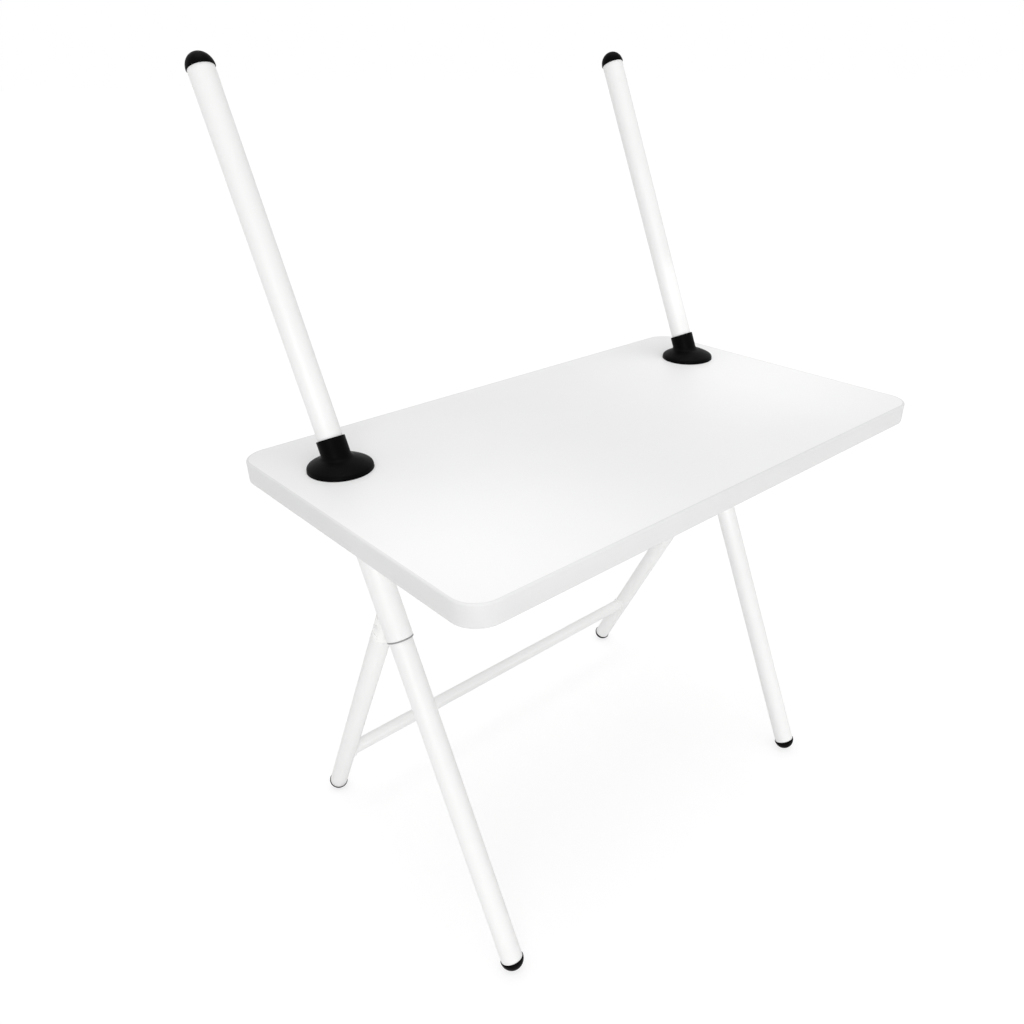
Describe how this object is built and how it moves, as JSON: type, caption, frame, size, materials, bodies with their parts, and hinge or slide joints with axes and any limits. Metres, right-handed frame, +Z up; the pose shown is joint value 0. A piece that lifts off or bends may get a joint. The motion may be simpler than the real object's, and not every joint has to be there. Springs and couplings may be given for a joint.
{
  "type": "folding easel stand",
  "caption": "Free-standing white stand: a rounded board on leaning tubes that rise past it as uprights, with rear legs and a cross bar that fold in behind the front legs.",
  "frame": {"origin": "middle of the floor area that the stand covers, on the floor", "axes": "+X along the board to the right as seen from the front, +Y to the back, +Z up"},
  "size_m": [0.52, 0.3648, 0.7093],
  "materials": {
    "frame_white": "satin powder coat",
    "board_white": "satin facing sheet",
    "board_core": "raw particle board",
    "edge_band": "satin edge band",
    "black_plastic": "satin moulded",
    "white_nylon": "moulded nylon",
    "grey_rubber": "soft rubber",
    "screw_steel": "zinc plated"
  },
  "bodies": {
    "board": {"board_core": "board_core", "top_facing": "board_white", "bottom_facing": "board_white", "edge_band": "edge_band", "plate_screws": "screw_steel", "hinge_washers": "white_nylon", "socket_left": "black_plastic", "leg_plate_left": "frame_white", "leg_sleeve_left": "frame_white", "hinge_tongue_left": "frame_white", "socket_right": "black_plastic", "leg_plate_right": "frame_white", "leg_sleeve_right": "frame_white", "hinge_tongue_right": "frame_white"},
    "upright_left": {"upright_left": "frame_white", "top_cap_left": "black_plastic"},
    "front_leg_left": {"front_leg_left": "frame_white", "front_foot_left": "black_plastic", "leg_ring_left": "grey_rubber"},
    "upright_right": {"upright_right": "frame_white", "top_cap_right": "black_plastic"},
    "front_leg_right": {"front_leg_right": "frame_white", "front_foot_right": "black_plastic", "leg_ring_right": "grey_rubber"},
    "rear_frame": {"cross_bar": "frame_white", "hinge_rivets": "frame_white", "hinge_fork_left": "white_nylon", "rear_leg_left": "frame_white", "rear_foot_left": "black_plastic", "hinge_fork_right": "white_nylon", "rear_leg_right": "frame_white", "rear_foot_right": "black_plastic"}
  },
  "joints": [
    {"name": "rear_fold", "type": "hinge", "parent": "board", "child": "rear_frame", "pos_m": [0, 0.01294, 0.29632], "axis": [-1, 0, 0], "range_deg": [0, 52]},
    {"name": "upright_left_lift", "type": "slide", "parent": "board", "child": "upright_left", "axis": [0, 0.4115, 0.9114], "range_m": [0, 0.035]},
    {"name": "front_leg_left_pull", "type": "slide", "parent": "board", "child": "front_leg_left", "axis": [0, -0.4115, -0.9114], "range_m": [0, 0.115]},
    {"name": "upright_right_lift", "type": "slide", "parent": "board", "child": "upright_right", "axis": [0, 0.4115, 0.9114], "range_m": [0, 0.035]},
    {"name": "front_leg_right_pull", "type": "slide", "parent": "board", "child": "front_leg_right", "axis": [0, -0.4115, -0.9114], "range_m": [0, 0.115]}
  ]
}
